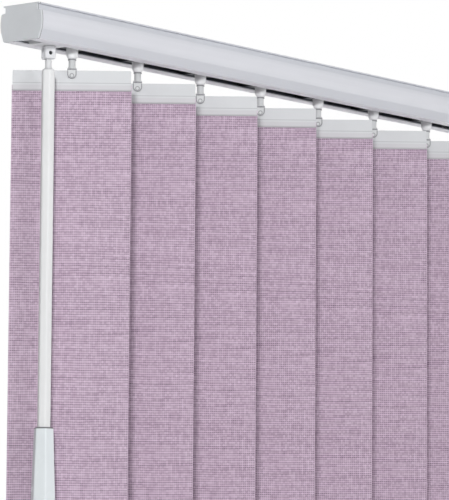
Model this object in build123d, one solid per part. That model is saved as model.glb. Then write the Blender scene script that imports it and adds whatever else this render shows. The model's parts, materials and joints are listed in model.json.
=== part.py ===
from build123d import *
from math import cos, degrees, pi, radians, sin
import os

# Vertical blind with a tilt wand: head rail, tilt rod, geared carriers, fabric slats, spacer strips.
# Millimetres. Origin at the centre of the rail's top face, +X along the rail away from the wand,
# -Y towards the room, +Z up. The slats stand spread out, turned part-way open.

# Slats and their spacing
slat_count = 7
slat_pitch = 76.0
slat_width = 89.0
slat_angle = 50.5
slat_thickness = 0.6
drop = 600.0
end_margin = 57.5

# Head rail section, as half widths and depths below its top
rail_height = 27.0
rail_wall = 1.3
rail_top_half = 17.3
groove_lip = 1.0
groove_half = 15.3
groove_height = 4.4
shoulder_half = 19.0
shoulder_drop = 0.6
bulge_half = 20.0
bulge_depth = 14.0
crease_half = 19.3
crease_depth = 19.8
rail_foot_half = 16.8
rail_corner = 1.0
slot_width = 14.4

# End caps
cap_flange = 1.5
cap_plug_length = 9.0
cap_plug_wall = 1.6
cap_clearance = 0.15
cap_hub_wall = 2.4
rod_bearing_depth = 7.0

# Running clearances, and how far a cutter runs past what it cuts
overrun = 1.0
bearing_clearance = 0.05
rod_clearance = 0.1
end_float = 0.3
floor_clearance = 0.3
slot_clearance = 0.3
gear_clearance = 0.35

# Tilt rod, beside the line of the stems
rod_y = 8.0
rod_z = -15.0
rod_radius = 2.2
rod_flute_count = 3
rod_flute_radius = 0.6
rod_flute_offset = 0.2

# Worms and the toothed heads of the stems
gear_module = 0.8
wheel_teeth = 10
wheel_thickness = 3.0
worm_length = 7.5
addendum = 0.6
dedendum = 0.8
tooth_root_share = 0.44
tooth_tip_share = 0.2
thread_root_share = 0.46
thread_tip_share = 0.22
journal_wall = 0.8
journal_length = 3.0

# Carriers
carrier_length = 21.7
carrier_half_width = 15.2
carrier_top_z = -8.0
boss_radius = 4.5
boss_straight = 1.6
boss_length = 6.0
boss_foot_radius = 3.0
boss_bulge = 0.35

# Spacer strips and the lanes that they run in
lane_count = 5
lane_y = -11.0
lane_first_z = -10.6
lane_step = 2.6
lane_clearance = 0.3
strip_width = 3.0
strip_thickness = 0.6
strip_head_width = 4.4
strip_head_length = 2.0
strip_root_depth = 8.0
strip_stop_gap = 0.3

# Hook stems
stem_radius = 2.6
stem_ring_radius = 3.1
stem_ring_height = 0.9
stem_ring_gap = 0.4
hook_width = 7.0
hook_prong = 1.3
hook_bridge = 1.2
hook_nub_radius = 1.3
hook_nub_drop = 3.9
hook_length = 6.2

# Hanger plates
hanger_top_z = -41.8
hanger_plate_height = 9.7
hanger_channel_height = 5.7
hanger_thickness = 1.2
hanger_channel_thickness = 2.6
hanger_side_margin = 0.4
hanger_corner = 1.0
hanger_clearance = 0.15
hanger_hole_margin = 0.5
fabric_grip = 4.5
fabric_clearance = 0.1

# Hem pockets and bottom weights
hem_height = 38.0
hem_taper = 5.0
weight_height = 26.0
weight_thickness = 1.8
weight_side_margin = 4.0
weight_corner = 2.0
weight_clearance = 0.2

# Wand truck
wand_offset = 26.5
truck_left = 14.0
truck_right = 10.0
drawbar_half_width = 4.0
drawbar_height = 3.0
drawbar_z = -24.3

# Crossed helical gears between the wand and the rod
rod_gear_teeth = 8
yoke_gear_teeth = 6
helical_face = 8.0
helical_addendum = 0.6
helical_dedendum = 0.85
helical_root_share = 0.42
helical_tip_share = 0.14

# Yoke and pin
yoke_shaft_radius = 2.4
yoke_width = 8.6
yoke_height = 9.6
yoke_corner = 1.2
yoke_foot_round = 1.5
yoke_gap = 3.2
yoke_bearing = -115.8
pin_radius = 1.45
pin_drop = 5.2
pin_recess = 1.2

# Wand
eye_thickness = 2.8
eye_radius = 3.1
eye_tang_half = 1.9
neck_radius = 2.6
neck_waist_radius = 2.35
neck_gap = 1.4
collar_height = 2.2
collar_edge = 0.7
wand_facets = 6
wand_facet_bearing = -125.8
tube_top_z = -45.6
tube_length = 303.0
tube_radius = 5.25
tube_wall = 1.0
tube_corner = 2.0
spigot_length = 14.0
spigot_clearance = 0.1
grip_length = 59.0
grip_top_radius = 7.5
grip_foot_radius = 9.7
grip_corner = 1.5
grip_rim = 1.0
grip_overlap = 40.0

# Worked out from the sizes above
first_x = -slat_pitch * (slat_count - 1) / 2
carrier_x = [first_x + slat_pitch * k for k in range(slat_count)]
rail_half_length = end_margin - first_x - cap_flange
rail_floor_z = rail_wall - rail_height
groove_foot_z = -groove_lip - groove_height
carrier_foot_z = rail_floor_z + floor_clearance
truck_rib_half = slot_width / 2 - slot_clearance
boss_foot_z = -rail_height - boss_length
wheel_pitch_radius = gear_module * wheel_teeth / 2
worm_pitch_radius = rod_y - wheel_pitch_radius
worm_lead = pi * gear_module
worm_half = worm_length / 2
wheel_foot_z = rod_z - wheel_thickness / 2
rod_bore_radius = rod_radius + rod_clearance
journal_radius = rod_bore_radius + journal_wall
journal_half = worm_half + journal_length
lane_zs = [lane_first_z - lane_step * k for k in range(lane_count)]
nub_z = hanger_top_z - hook_nub_drop
hanger_step_z = hanger_top_z - hanger_plate_height
hanger_foot_z = hanger_step_z - hanger_channel_height
fabric_top_z = hanger_foot_z + fabric_grip - fabric_clearance
wand_x = first_x - wand_offset
rod_gear_radius = rod_y * rod_gear_teeth / (rod_gear_teeth + yoke_gear_teeth)
yoke_gear_radius = rod_y - rod_gear_radius
yoke_top_z = -rail_height - end_float
yoke_foot_z = yoke_top_z - yoke_height
pin_z = yoke_top_z - pin_drop
neck_top_z = yoke_foot_z - neck_gap
grip_top_z = tube_top_z - tube_length + grip_overlap
grip_foot_z = grip_top_z - grip_length


def polar(radius, angle):
    """Point at a radius and an angle in degrees."""
    return radius * cos(radians(angle)), radius * sin(radians(angle))


def block(x_from, x_to, y_from, y_to, z_from, z_to):
    """Rectangular block between two corners."""
    size = Box(x_to - x_from, y_to - y_from, z_to - z_from)
    return Pos((x_from + x_to) / 2, (y_from + y_to) / 2, (z_from + z_to) / 2) * size


def bar(x_from, x_to, radius):
    """Round bar on the tilt rod's axis."""
    return Pos((x_from + x_to) / 2, rod_y, rod_z) * Rot(0, 90, 0) * Cylinder(radius, x_to - x_from)


def open_bar(x_from, x_to, radius):
    """Room for a round bar on the rod's axis that is dropped in from above."""
    above = block(x_from, x_to, rod_y - radius, rod_y + radius, rod_z, 0)
    return bar(x_from, x_to, radius) + above


def post(z_from, z_to, radius):
    """Upright round bar on the Z axis."""
    return Pos(0, 0, (z_from + z_to) / 2) * Cylinder(radius, z_to - z_from)


def cog(teeth, root_radius, tip_radius, root_share, tip_share, phase):
    """Toothed outline. The shares are a tooth's part of one pitch, and phase is one tooth's angle."""
    pitch = 360 / teeth
    hub_radius = root_radius / 2
    outline = Circle(root_radius)
    for k in range(teeth):
        middle = phase + k * pitch
        corners = [polar(hub_radius, middle - pitch * root_share / 2)]
        corners.append(polar(root_radius, middle - pitch * root_share / 2))
        corners.append(polar(tip_radius, middle - pitch * tip_share / 2))
        corners.append(polar(tip_radius, middle + pitch * tip_share / 2))
        corners.append(polar(root_radius, middle + pitch * root_share / 2))
        corners.append(polar(hub_radius, middle + pitch * root_share / 2))
        outline += make_face(Polyline(*corners, close=True))
    return outline


def twisted(section, length, angle):
    """Section run up from the ground plane while it turns through an angle."""
    return Solid.extrude_linear_with_rotation(section.face(), (0, 0, 0), (0, 0, length), angle)


def rail_outline(inset=0.0):
    """Outline of the rail's section, in the YZ plane, moved inwards by the inset."""
    groove = Polyline(
        (0, 0),
        (rail_top_half, 0),
        (rail_top_half, -groove_lip),
        (groove_half, -groove_lip),
        (groove_half, groove_foot_z),
        (shoulder_half, groove_foot_z - shoulder_drop),
    )
    bulge = ThreePointArc(groove @ 1, (bulge_half, -bulge_depth), (crease_half, -crease_depth))
    foot = Polyline(bulge @ 1, (rail_foot_half, -rail_height), (0, -rail_height))
    half = make_face(groove + bulge + foot + Line(foot @ 1, groove @ 0))
    outline = half + mirror(half, Plane.YZ)
    foot_row = outline.vertices().group_by(Axis.Y)[0].sort_by(Axis.X)
    outline = fillet([foot_row[0], foot_row[-1]], rail_corner)
    if inset:
        outline = offset(outline, amount=-inset, kind=Kind.INTERSECTION)
    return Plane.YZ * outline


def along_rail(section, x_from, x_to):
    """YZ section run along the rail."""
    return Pos(x_from, 0, 0) * extrude(section, amount=x_to - x_from, dir=(1, 0, 0))


def make_headrail():
    """Extruded rail, open along its underside."""
    rail = along_rail(rail_outline() - rail_outline(rail_wall), -rail_half_length, rail_half_length)
    reach = rail_half_length + overrun
    half = slot_width / 2
    return rail - block(-reach, reach, -half, half, -rail_height - overrun, rail_floor_z + overrun)


def make_end_cap(side):
    """Cap with a hollow plug and a bearing for the rod. The far cap's arm holds the last carrier."""
    face_x = side * rail_half_length
    plug_x = face_x - side * cap_plug_length
    fit = rail_wall + cap_clearance
    flange = along_rail(rail_outline(), *sorted((face_x, face_x + side * cap_flange)))
    plug = along_rail(rail_outline(fit) - rail_outline(fit + cap_plug_wall), *sorted((face_x, plug_x)))
    hub = bar(*sorted((face_x, plug_x)), rod_radius + cap_hub_wall)
    bearing = bar(*sorted((plug_x, plug_x + side * rod_bearing_depth)), rod_radius + bearing_clearance)
    cap = flange + plug + hub - bearing
    if side > 0:
        arm_x = carrier_x[-1] + carrier_length / 2
        half = drawbar_half_width
        cap += block(arm_x, face_x, -half, half, drawbar_z, drawbar_z + drawbar_height)
    return cap


def rod_outline(clearance=0.0):
    """Fluted round outline of the rod, or of a bore that it slides in."""
    flutes = PolarLocations(rod_radius + rod_flute_offset, rod_flute_count)
    return Circle(rod_radius + clearance) - flutes * Circle(rod_flute_radius - clearance)


def fluted_bar(x_from, x_to, clearance=0.0):
    """The rod's outline run along its axis."""
    run = extrude(rod_outline(clearance), amount=x_to - x_from)
    return Pos(x_from, rod_y, rod_z) * Rot(0, 90, 0) * run


def make_tilt_rod():
    """Fluted rod from one cap's bearing to the other's."""
    reach = rail_half_length - cap_plug_length + rod_bearing_depth - end_float
    return fluted_bar(-reach, reach)


def make_worm():
    """Right-hand worm with a journal at each end, its thread clear of the stem at mid length."""
    root_half, tip_half = 180 * thread_root_share, 180 * thread_tip_share
    root, tip = worm_pitch_radius - dedendum, worm_pitch_radius + addendum
    back = ThreePointArc(polar(root, root_half), (-root, 0), polar(root, -root_half))
    crest = ThreePointArc(polar(tip, -tip_half), (tip, 0), polar(tip, tip_half))
    section = make_face(back + Line(back @ 1, crest @ 0) + crest + Line(crest @ 1, back @ 0))
    start = 90 - 360 * worm_half / worm_lead
    thread = twisted(Rot(0, 0, start) * section, worm_length, 360 * worm_length / worm_lead)
    thread = Pos(-worm_half, rod_y, rod_z) * Rot(0, 90, 0) * thread
    thread += bar(-journal_half, journal_half, journal_radius)
    return thread - fluted_bar(-journal_half - overrun, journal_half + overrun, rod_clearance)


def lane(x_from, x_to, k, width, clearance):
    """Room for a strip of a given width in lane k."""
    half = width / 2 + clearance
    rise = strip_thickness / 2 + clearance
    z = lane_zs[k % lane_count]
    return block(x_from, x_to, lane_y - half, lane_y + half, z - rise, z + rise)


def make_carrier(k):
    """Open-topped gear box on a round boss. Its own lane is too narrow for its strip's head."""
    half = carrier_length / 2
    reach = half + overrun
    boss_top_z = carrier_foot_z + overrun
    knee_z = -rail_height - boss_straight
    bowl = ThreePointArc(
        (boss_foot_radius, boss_foot_z),
        ((boss_foot_radius + boss_radius) / 2 + boss_bulge, (boss_foot_z + knee_z - boss_bulge) / 2),
        (boss_radius, knee_z),
    )
    side = Polyline(bowl @ 1, (boss_radius, boss_top_z), (0, boss_top_z), (0, boss_foot_z), bowl @ 0)
    carrier = block(-half, half, -carrier_half_width, carrier_half_width, carrier_foot_z, carrier_top_z)
    carrier += revolve(Plane.XZ * make_face(bowl + side), Axis.Z)
    room_half = worm_half + end_float
    tooth_room = addendum + gear_clearance
    carrier -= post(wheel_foot_z - bearing_clearance, 0, wheel_pitch_radius + tooth_room)
    carrier -= post(boss_foot_z - overrun, 0, stem_radius + bearing_clearance)
    carrier -= open_bar(-room_half, room_half, worm_pitch_radius + tooth_room)
    carrier -= open_bar(-reach, reach, journal_radius + bearing_clearance)
    own, root = k % lane_count, (k - 1) % lane_count
    for j in range(lane_count):
        if j == root and k > 0:
            carrier -= lane(-reach, strip_root_depth - half, j, strip_width, bearing_clearance)
        else:
            width = strip_width if j == own else strip_head_width
            carrier -= lane(-reach, reach, j, width, lane_clearance)
    return carrier


def make_spacer(k):
    """Flat strip rooted in carrier k + 1, with a T head that carrier k pulls up against."""
    head_x = carrier_x[k] - carrier_length / 2 - strip_stop_gap
    root_x = carrier_x[k + 1] - carrier_length / 2 + strip_root_depth
    strip = lane(head_x - strip_head_length, root_x, k, strip_width, 0)
    z = lane_zs[k % lane_count]
    half = strip_head_width / 2
    rise = strip_thickness / 2
    head = block(-strip_head_length, 0, lane_y - half, lane_y + half, z - rise, z + rise)
    return strip + Pos(head_x, 0, 0) * head


def make_stem():
    """Toothed head, shaft, two rings and a two-sided hook."""
    teeth = cog(
        wheel_teeth,
        wheel_pitch_radius - dedendum,
        wheel_pitch_radius + addendum,
        tooth_root_share,
        tooth_tip_share,
        90,
    )
    stem = Pos(0, 0, wheel_foot_z) * extrude(teeth, amount=wheel_thickness)
    bridge_z = hanger_top_z + hanger_clearance
    stem += post(bridge_z, wheel_foot_z + overrun, stem_radius)
    ring_z = boss_foot_z - stem_ring_gap
    stem += post(ring_z - stem_ring_height, ring_z, stem_ring_radius)
    stem += post(bridge_z + hook_bridge, bridge_z + hook_bridge + stem_ring_height, stem_ring_radius)
    inner = hanger_thickness / 2 + hanger_clearance
    outer = inner + hook_prong
    half = hook_width / 2
    hook = block(-half, half, -outer, outer, bridge_z, bridge_z + hook_bridge)
    foot_z = hanger_top_z - hook_length + half
    prong = block(-half, half, inner, outer, foot_z, bridge_z)
    prong += Pos(0, (inner + outer) / 2, foot_z) * Rot(90, 0, 0) * Cylinder(half, hook_prong)
    hook += prong + mirror(prong, Plane.XZ)
    nub_length = 2 * inner - hanger_clearance
    hook += Pos(0, inner - nub_length / 2, nub_z) * Rot(90, 0, 0) * Cylinder(hook_nub_radius, nub_length)
    return stem + Rot(0, 0, -slat_angle) * hook


def make_hanger():
    """Plate with a hole for the hook, over a channel that grips the fabric."""
    half = slat_width / 2 - hanger_side_margin
    thin, thick = hanger_thickness / 2, hanger_channel_thickness / 2
    plate = block(-half, half, -thin, thin, hanger_step_z, hanger_top_z)
    top_corners = plate.edges().filter_by(Axis.Y).sort_by(Axis.Z)[-2:]
    plate = fillet(top_corners, hanger_corner)
    plate += block(-half, half, -thick, thick, hanger_foot_z, hanger_step_z)
    hole = Rot(90, 0, 0) * Cylinder(hook_nub_radius + hanger_hole_margin, 2 * hanger_thickness)
    slit = slat_thickness / 2 + fabric_clearance
    plate -= Pos(0, 0, nub_z) * hole
    reach = half + overrun
    plate -= block(-reach, reach, -slit, slit, hanger_foot_z - overrun, hanger_foot_z + fabric_grip)
    return Rot(0, 0, -slat_angle) * plate


def make_slat():
    """Fabric strip with a flat hem pocket along its foot."""
    thin = slat_thickness / 2
    thick = weight_thickness / 2 + weight_clearance + slat_thickness
    hem_z = hem_height - drop
    shoulder_z = hem_z - hem_taper
    side = [(thin, fabric_top_z), (thin, hem_z), (thick, shoulder_z), (thick, -drop)]
    outline = side + [(-y, z) for y, z in reversed(side)]
    room = [(0, hem_z - 2 * slat_thickness), (thick - slat_thickness, shoulder_z)]
    room.append((thick - slat_thickness, slat_thickness - drop))
    pocket = room + [(-y, z) for y, z in reversed(room[1:])]
    section = make_face(Polyline(*outline, close=True)) - make_face(Polyline(*pocket, close=True))
    sheet = extrude(Plane.YZ * section, amount=slat_width / 2, both=True)
    return Rot(0, 0, -slat_angle) * sheet


def make_weight():
    """Flat weight that lies in the hem pocket."""
    foot_z = slat_thickness + weight_clearance - drop
    half = slat_width / 2 - weight_side_margin
    thin = weight_thickness / 2
    plate = block(-half, half, -thin, thin, foot_z, foot_z + weight_height)
    return Rot(0, 0, -slat_angle) * fillet(plate.edges().filter_by(Axis.Y), weight_corner)


def helical_gear(teeth, radius, tooth_bearing):
    """Right-hand 45 degree gear on the Z axis, centred at mid length with a tooth at the bearing."""
    turn = degrees(helical_face / radius)
    section = cog(
        teeth,
        radius - helical_dedendum,
        radius + helical_addendum,
        helical_root_share,
        helical_tip_share,
        tooth_bearing - turn / 2,
    )
    return Pos(0, 0, -helical_face / 2) * twisted(section, helical_face, turn)


def make_rod_gear():
    """Gear on the tilt rod, with a tooth towards the yoke and a journal at each end."""
    half = helical_face / 2 + journal_length
    gear = Pos(0, rod_y, rod_z) * Rot(0, 90, 0) * helical_gear(rod_gear_teeth, rod_gear_radius, -90)
    gear += bar(-half, half, journal_radius)
    return gear - fluted_bar(-half - overrun, half + overrun, rod_clearance)


def make_truck():
    """Gear box that carries the wand. Its rib fills the slot and its bar pushes the first carrier."""
    left, right, half = -truck_left, truck_right, carrier_half_width
    truck = block(left, right, -half, half, carrier_foot_z, carrier_top_z)
    truck += block(left, right, -truck_rib_half, truck_rib_half, -rail_height, carrier_foot_z + overrun)
    bar_end = wand_offset - carrier_length / 2
    half = drawbar_half_width
    truck += block(right - overrun, bar_end, -half, half, drawbar_z, drawbar_z + drawbar_height)
    room_half = helical_face / 2 + end_float
    tooth_room = helical_addendum + gear_clearance
    gear_foot_z = rod_z - helical_face / 2
    truck -= post(gear_foot_z - bearing_clearance, 0, yoke_gear_radius + tooth_room)
    truck -= post(-rail_height - overrun, 0, yoke_shaft_radius + bearing_clearance)
    truck -= open_bar(-room_half, room_half, rod_gear_radius + tooth_room)
    truck -= open_bar(left - overrun, right + overrun, journal_radius + bearing_clearance)
    for j in range(lane_count):
        truck -= lane(left - overrun, right + overrun, j, strip_head_width, lane_clearance)
    return truck


def make_yoke():
    """Toothed shaft over a fork that holds the wand's pin."""
    gear = helical_gear(yoke_gear_teeth, yoke_gear_radius, 90 + 180 / yoke_gear_teeth)
    yoke = Pos(0, 0, rod_z) * gear + post(yoke_top_z - overrun, rod_z, yoke_shaft_radius)
    half = yoke_width / 2
    gap = yoke_gap / 2
    fork = block(-half, half, -half, half, yoke_foot_z, yoke_top_z)
    fork = fillet(fork.edges().filter_by(Axis.X).sort_by(Axis.Z)[:2], yoke_foot_round)
    fork = fillet(fork.edges().filter_by(Axis.Z), yoke_corner)
    slot_top_z = pin_z + eye_radius + end_float
    fork -= block(-gap, gap, -yoke_width, yoke_width, yoke_foot_z - overrun, slot_top_z)
    fork -= Pos(0, 0, pin_z) * Rot(0, 90, 0) * Cylinder(pin_radius + bearing_clearance, 2 * yoke_width)
    return yoke + Rot(0, 0, yoke_bearing) * fork


def make_pin():
    """Pin through the fork, a little short of both faces."""
    length = yoke_width - 2 * pin_recess
    return Rot(0, 0, yoke_bearing) * Pos(0, 0, pin_z) * Rot(0, 90, 0) * Cylinder(pin_radius, length)


def facets(radius, corner):
    """Rounded hexagon of the wand."""
    outline = RegularPolygon(radius, wand_facets)
    return Rot(0, 0, wand_facet_bearing) * fillet(outline.vertices(), corner)


def make_eye():
    """Flat eye, waisted neck, collar and the spigot inside the tube."""
    thin = eye_thickness / 2
    eye = Pos(0, 0, pin_z) * Rot(0, 90, 0) * Cylinder(eye_radius, eye_thickness)
    eye += block(-thin, thin, -eye_tang_half, eye_tang_half, neck_top_z - eye_tang_half, pin_z)
    eye -= Pos(0, 0, pin_z) * Rot(0, 90, 0) * Cylinder(pin_radius + bearing_clearance, 2 * eye_thickness)
    collar_z = tube_top_z + collar_height
    waist = ThreePointArc(
        (neck_radius, neck_top_z),
        (neck_waist_radius, (neck_top_z + collar_z) / 2),
        (neck_radius, collar_z),
    )
    flat = tube_radius * cos(pi / wand_facets)
    spigot = flat - tube_wall - spigot_clearance
    foot_z = tube_top_z - spigot_length
    side = Polyline(
        waist @ 1,
        (flat, tube_top_z + collar_edge),
        (flat, tube_top_z),
        (spigot, tube_top_z),
        (spigot, foot_z),
        (0, foot_z),
        (0, neck_top_z),
        waist @ 0,
    )
    neck = revolve(Plane.XZ * make_face(waist + side), Axis.Z)
    return Rot(0, 0, yoke_bearing) * eye + neck


def make_tube():
    """Faceted tube of the wand."""
    outline = facets(tube_radius, tube_corner)
    ring = outline - offset(outline, amount=-tube_wall)
    return Pos(0, 0, tube_top_z - tube_length) * extrude(ring, amount=tube_length)


def make_grip():
    """Tapered faceted handle, closed at its foot."""
    foot = Pos(0, 0, grip_foot_z) * facets(grip_foot_radius, grip_corner)
    top = Pos(0, 0, grip_top_z) * facets(grip_top_radius, grip_corner)
    grip = loft([foot, top])
    grip = fillet(grip.faces().sort_by(Axis.Z)[-1].edges(), grip_rim)
    grip = fillet(grip.faces().sort_by(Axis.Z)[0].edges(), grip_rim)
    bore = extrude(facets(tube_radius + spigot_clearance, tube_corner), amount=grip_overlap + overrun)
    return grip - Pos(0, 0, grip_top_z - grip_overlap) * bore


def build_parts():
    """Every piece in its place, by name."""
    parts = {
        "headrail": make_headrail(),
        "end_cap_left": make_end_cap(-1),
        "end_cap_right": make_end_cap(1),
        "tilt_rod": make_tilt_rod(),
    }
    at_wand = Pos(wand_x, 0, 0)
    parts["wand_truck"] = at_wand * make_truck()
    parts["rod_gear"] = at_wand * make_rod_gear()
    parts["wand_yoke"] = at_wand * make_yoke()
    parts["yoke_pin"] = at_wand * make_pin()
    parts["wand_eye"] = at_wand * make_eye()
    parts["wand_tube"] = at_wand * make_tube()
    parts["wand_grip"] = at_wand * make_grip()
    repeated = {
        "worm": make_worm(),
        "stem": make_stem(),
        "hanger": make_hanger(),
        "slat": make_slat(),
        "weight": make_weight(),
    }
    for k, x in enumerate(carrier_x):
        parts[f"carrier_{k + 1}"] = Pos(x, 0, 0) * make_carrier(k)
        for name, piece in repeated.items():
            parts[f"{name}_{k + 1}"] = Pos(x, 0, 0) * piece
    for k in range(slat_count - 1):
        parts[f"spacer_{k + 1}"] = make_spacer(k)
    return parts


os.makedirs("parts", exist_ok=True)
for part_name, part in build_parts().items():
    export_step(part, f"parts/{part_name}.step")
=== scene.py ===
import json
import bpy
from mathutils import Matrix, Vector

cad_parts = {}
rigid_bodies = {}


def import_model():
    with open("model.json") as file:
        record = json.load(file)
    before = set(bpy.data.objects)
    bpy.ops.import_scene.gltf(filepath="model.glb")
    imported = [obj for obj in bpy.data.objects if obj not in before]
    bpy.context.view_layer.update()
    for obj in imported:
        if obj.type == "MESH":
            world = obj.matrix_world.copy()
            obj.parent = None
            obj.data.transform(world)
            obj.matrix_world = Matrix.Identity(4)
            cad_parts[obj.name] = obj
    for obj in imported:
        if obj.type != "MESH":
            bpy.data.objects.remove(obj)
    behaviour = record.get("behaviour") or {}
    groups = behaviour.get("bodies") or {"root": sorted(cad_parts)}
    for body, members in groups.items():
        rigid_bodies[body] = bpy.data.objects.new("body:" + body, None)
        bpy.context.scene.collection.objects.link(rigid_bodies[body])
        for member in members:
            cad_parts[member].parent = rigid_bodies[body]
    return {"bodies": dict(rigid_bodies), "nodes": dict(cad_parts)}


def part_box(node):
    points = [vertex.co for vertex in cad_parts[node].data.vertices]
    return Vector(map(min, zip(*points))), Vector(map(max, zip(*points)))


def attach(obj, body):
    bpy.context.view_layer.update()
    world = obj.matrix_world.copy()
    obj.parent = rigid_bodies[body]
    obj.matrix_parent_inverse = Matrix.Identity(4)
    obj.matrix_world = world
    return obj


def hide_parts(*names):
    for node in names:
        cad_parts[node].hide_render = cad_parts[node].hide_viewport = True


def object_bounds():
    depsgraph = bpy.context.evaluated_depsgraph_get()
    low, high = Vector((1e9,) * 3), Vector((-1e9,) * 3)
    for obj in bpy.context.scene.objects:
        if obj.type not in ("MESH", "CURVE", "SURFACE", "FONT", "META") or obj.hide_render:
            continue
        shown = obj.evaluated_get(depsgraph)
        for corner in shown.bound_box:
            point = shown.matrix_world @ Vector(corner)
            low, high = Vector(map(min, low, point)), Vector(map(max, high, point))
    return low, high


bl_info = {
    "name": "Vertical Blind",
    "version": (1, 0, 0),
    "blender": (4, 5, 0),
    "location": "View3D > Sidebar > Vertical Blind",
    "description": "Woven slats, painted rail, moulded fittings and glossy wand of a vertical blind",
    "category": "Object",
}

from math import cos, pi, radians, sin

import bpy
from bpy.props import FloatProperty, FloatVectorProperty, PointerProperty
from bpy.types import NodeSocket, Operator, Panel, PropertyGroup
from mathutils import Matrix, Vector

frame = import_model()
cad_box = [list(corner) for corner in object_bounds()]

VANES = sorted(body for body in frame["bodies"] if body.startswith("vane_"))
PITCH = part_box("hanger_2")[0][0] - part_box("hanger_1")[0][0]
RAIL_FOOT, RAIL_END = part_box("headrail")[0][2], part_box("headrail")[1][0]
HANGER_FOOT, HANGER_TOP = (corner[2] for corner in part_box("hanger_1"))
SLAT_FOOT, SLAT_TOP = (corner[2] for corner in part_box("slat_1"))
GRIP_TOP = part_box("wand_grip")[1][2]

# Parts of a noise's range that are spread out: the middle, where most of it lies, and nearly the whole
MIDDLE = (0.3, 0.7)
WIDE = (0.2, 0.8)

# Distance in metres that reaches past the end of any small piece
BEYOND = 0.01

# Depth below the rail's top and half the width of its hollow there, in millimetres
MILLIMETRES = 1000
HOLLOW = (
    (0.65, 0), (0.66, 14.6), (5.4, 14.7), (6.6, 18.0), (14, 19.3), (19.8, 18.6), (25.9, 16.6), (26.35, 0),
)
HOLLOW_SPAN = 30

# Faces across the fabric, down its flat part and round its hem, and steps in each bend of the hem
COLUMNS, FLAT_ROWS, HEM_ROWS, BEND_STEPS = 28, 64, 84, 8

# Steps along one stitch, and sides of its thread
STITCH_STEPS, THREAD_SIDES = 6, 7

# Angle from which an edge between two faces looks sharp
SHARP_EDGE = radians(40)


def srgb(red, green, blue):
    """Linear colour of one written from 0 to 255."""
    parts = [value / 255 for value in (red, green, blue)]
    return tuple(p / 12.92 if p <= 0.04045 else ((p + 0.055) / 1.055) ** 2.4 for p in parts)


def length(name, description, default):
    """Property for a size in metres."""
    return FloatProperty(name=name, description=description, default=default, unit="LENGTH", precision=5)


def level(name, description, default):
    """Property for a plain amount."""
    return FloatProperty(name=name, description=description, default=default, precision=3)


def colour(name, description, default):
    """Property for a colour."""
    return FloatVectorProperty(
        name=name, description=description, default=default, subtype="COLOR", min=0, max=1
    )


def angle(name, description, degrees):
    """Property for an angle that is given in degrees."""
    return FloatProperty(name=name, description=description, default=radians(degrees), subtype="ANGLE")


class FabricSettings(PropertyGroup):
    """Sizes and colours of the slats and their hems."""

    width: length("Slat width", "Width that the fabric is cut to", 0.089)
    turn: angle("Slat angle", "Angle of the slats to the rail", 50.5)
    thickness: length("Thickness", "Thickness of the stiffened fabric", 0.0005)
    hem_height: length("Hem height", "Height of the pocket at the foot", 0.038)
    hem_taper: length("Hem taper", "Height over which the pocket opens", 0.005)
    hem_overlap: length("Hem overlap", "Fabric turned up above the pocket", 0.004)
    pocket: length("Pocket", "Half the space between the pocket's two layers", 0.0011)
    ripple: length("Ripple", "How far the fabric wavers from flat", 0.00025)
    held: length("Held", "Fabric kept flat beside the hanger and the hem", 0.004)
    freed: length("Freed", "From the hanger or the hem to where the fabric wavers fully", 0.09)
    stitch_pitch: length("Stitch pitch", "From one hem stitch to the next", 0.0031)
    stitch_length: length("Stitch length", "Visible length of one hem stitch", 0.0026)
    thread_radius: length("Thread radius", "Radius of the hem thread", 0.00018)
    thread_arch: level("Thread arch", "How high a stitch arches, in thread radii", 2.4)
    weft_pitch: length("Weft pitch", "Height of one cross yarn", 0.0018)
    weft_sway: length("Weft sway", "How far the cross yarns sway from straight", 0.0004)
    warp_pitch: length("Warp pitch", "Width of one upright yarn", 0.0016)
    warp_sway: length("Warp sway", "How far the upright yarns sway from straight", 0.0003)
    evenness: level("Evenness", "Share of the slubs' range that is cut off at each end", 0.08)
    fleck: level("Fleck", "How much single crossings differ in tone", 0.16)
    wash: level("Wash", "How much the tone drifts over a slat", 0.015)
    gap_depth: level("Gap depth", "How dark the gaps between cross yarns are", 0.8)
    warp_gap: level("Upright gap", "Share of that depth between upright yarns", 0.12)
    deepest: level("Deepest gap", "Darkest that a gap can be", 0.85)
    seal: length("Seal", "Width of the sealed, paler edges", 0.0007)
    seal_level: level("Seal level", "How much paler the sealed edges are", 0.35)
    relief: length("Relief", "Height of the yarns in the bump", 0.0002)
    pale_yarn: colour("Pale yarn", "Palest yarns of the weave", srgb(226, 206, 224))
    yarn: colour("Yarn", "Usual colour of the weave", srgb(205, 183, 202))
    deep_yarn: colour("Deep yarn", "Darkest yarns of the weave", srgb(173, 150, 171))


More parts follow.
